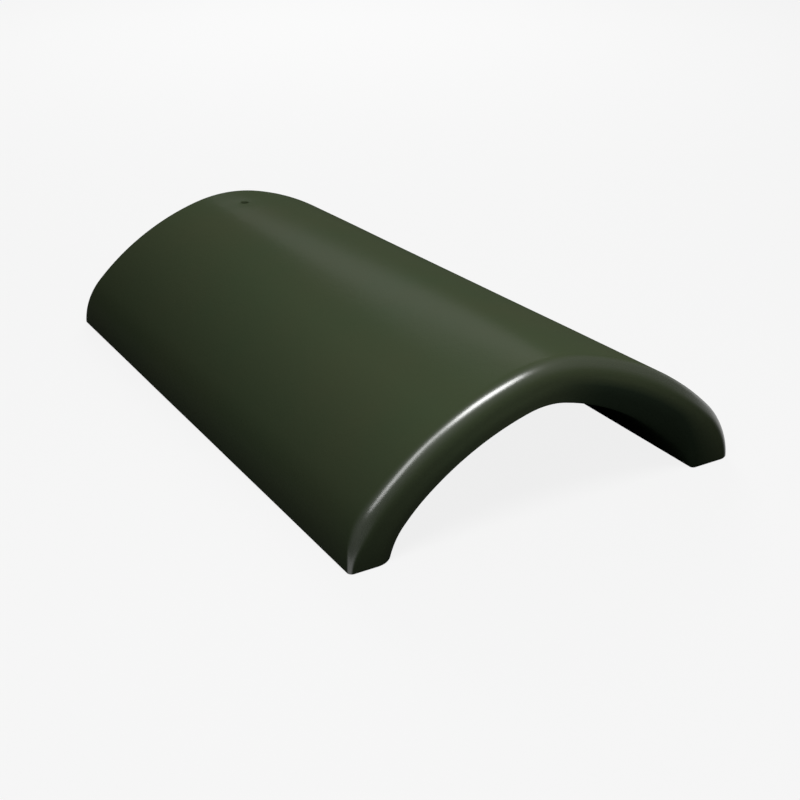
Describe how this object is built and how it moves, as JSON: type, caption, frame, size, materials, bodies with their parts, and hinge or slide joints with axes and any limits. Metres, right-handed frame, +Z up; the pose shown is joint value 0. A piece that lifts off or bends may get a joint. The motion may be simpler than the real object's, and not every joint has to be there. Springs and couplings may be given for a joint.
{
  "type": "ridge tile",
  "caption": "Half-round tapered ridge tile, moulded in one piece, with a rounded nose end, two flat feet and a nail hole through the crown of its tail end.",
  "frame": {"origin": "on the floor, under the middle of the tile's box", "axes": "+X across the roof ridge, +Y along it from the rounded nose to the nailed tail, +Z up out of the crown"},
  "size_m": [0.2788, 0.42, 0.0965],
  "materials": {
    "coated_concrete": "dark olive green satin coating on dense fine concrete"
  },
  "bodies": {
    "root": {"ridge_tile": "coated_concrete"}
  },
  "joints": []
}
